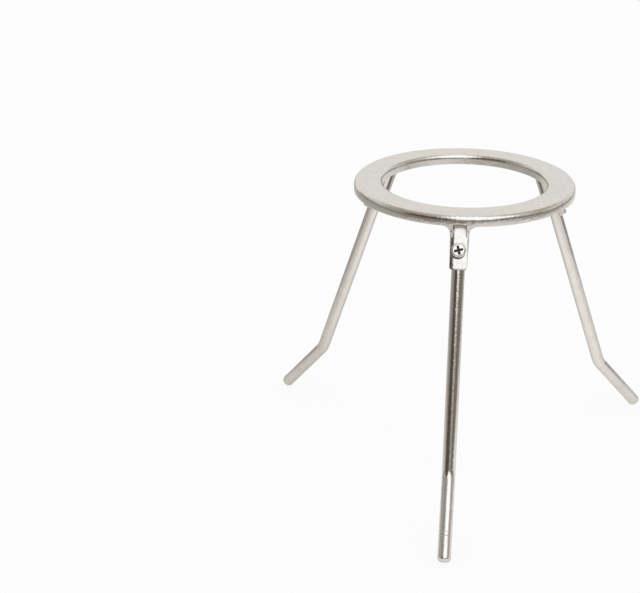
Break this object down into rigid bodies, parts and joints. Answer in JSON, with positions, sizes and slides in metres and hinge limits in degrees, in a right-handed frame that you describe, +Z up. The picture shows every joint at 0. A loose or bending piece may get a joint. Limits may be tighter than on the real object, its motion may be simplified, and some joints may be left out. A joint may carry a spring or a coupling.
{
  "type": "lab tripod stand",
  "caption": "Lab tripod stand: a pressed metal ring on splayed rod legs with turned-out feet, for holding a vessel or gauze over a burner.",
  "frame": {"origin": "on the bench, under the middle of the ring", "axes": "+Z up through the middle of the ring; one leg points to -Y, the others to +X and -X and back"},
  "size_m": [0.261, 0.2271, 0.1905],
  "materials": {
    "ring_metal": "plated, satin, slightly mottled",
    "leg_metal": "plated, slightly grainy",
    "screw_metal": "plated, smooth"
  },
  "bodies": {
    "root": {"ring": "ring_metal", "leg_front": "leg_metal", "leg_right": "leg_metal", "leg_left": "leg_metal", "screw_front": "screw_metal", "screw_right": "screw_metal", "screw_left": "screw_metal"}
  },
  "joints": []
}
